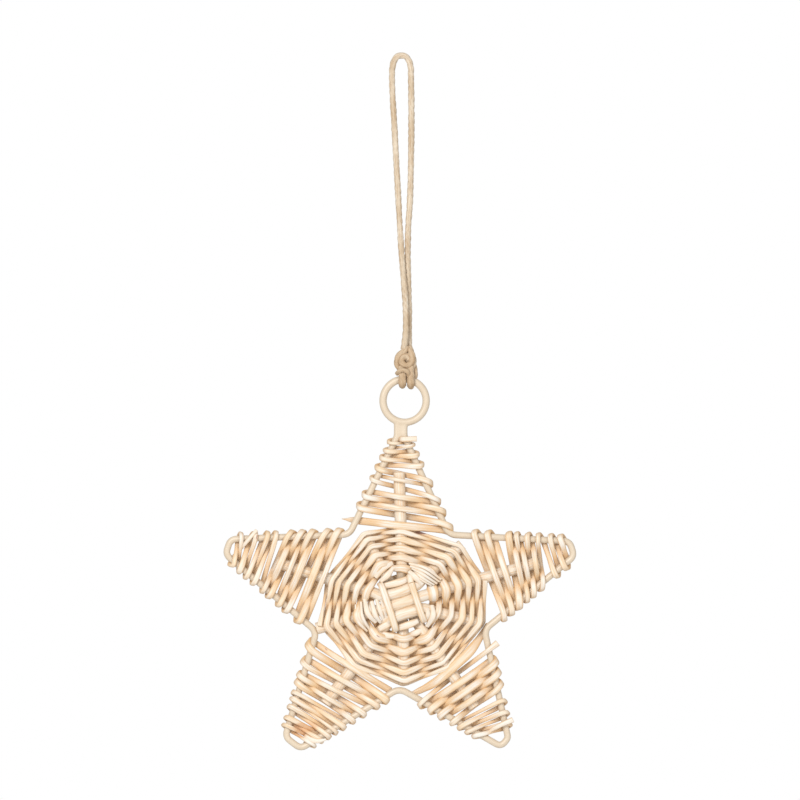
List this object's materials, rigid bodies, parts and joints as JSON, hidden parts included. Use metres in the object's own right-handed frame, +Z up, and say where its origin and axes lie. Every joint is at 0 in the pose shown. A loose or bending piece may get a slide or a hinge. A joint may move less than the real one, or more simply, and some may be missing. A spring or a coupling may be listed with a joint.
{
  "type": "woven star ornament",
  "caption": "Star of peeled willow rods woven on a cream painted wire frame, with a ring on top and a knotted loop of jute twine to hang it by.",
  "frame": {"origin": "the point inside the top of the twine loop that rests on the hook the ornament hangs from", "axes": "+Z up, the star's front faces -Y, +X to the right as seen from the front"},
  "size_m": [0.1765, 0.0168, 0.3495],
  "materials": {
    "painted_wire": "smooth cream paint, satin",
    "willow_rib": "peeled willow, dry and satin",
    "willow_weaver": "peeled willow, satin with long highlights",
    "jute_twine": "rough twisted jute"
  },
  "bodies": {
    "root": {"wire_frame": "painted_wire", "rib_left_arm": "willow_rib", "rib_right_arm": "willow_rib", "rib_lower_left_arm": "willow_rib", "rib_top_arm": "willow_rib", "rib_back": "willow_rib", "crossing_binding": "willow_weaver", "centre_weaver_a": "willow_weaver", "centre_weaver_b": "willow_weaver", "arm_weaver_right": "willow_weaver", "arm_weaver_top": "willow_weaver", "arm_weaver_left": "willow_weaver", "arm_weaver_lower_left": "willow_weaver", "arm_weaver_lower_right": "willow_weaver", "hanging_twine": "jute_twine", "twine_knot": "jute_twine"}
  },
  "joints": []
}
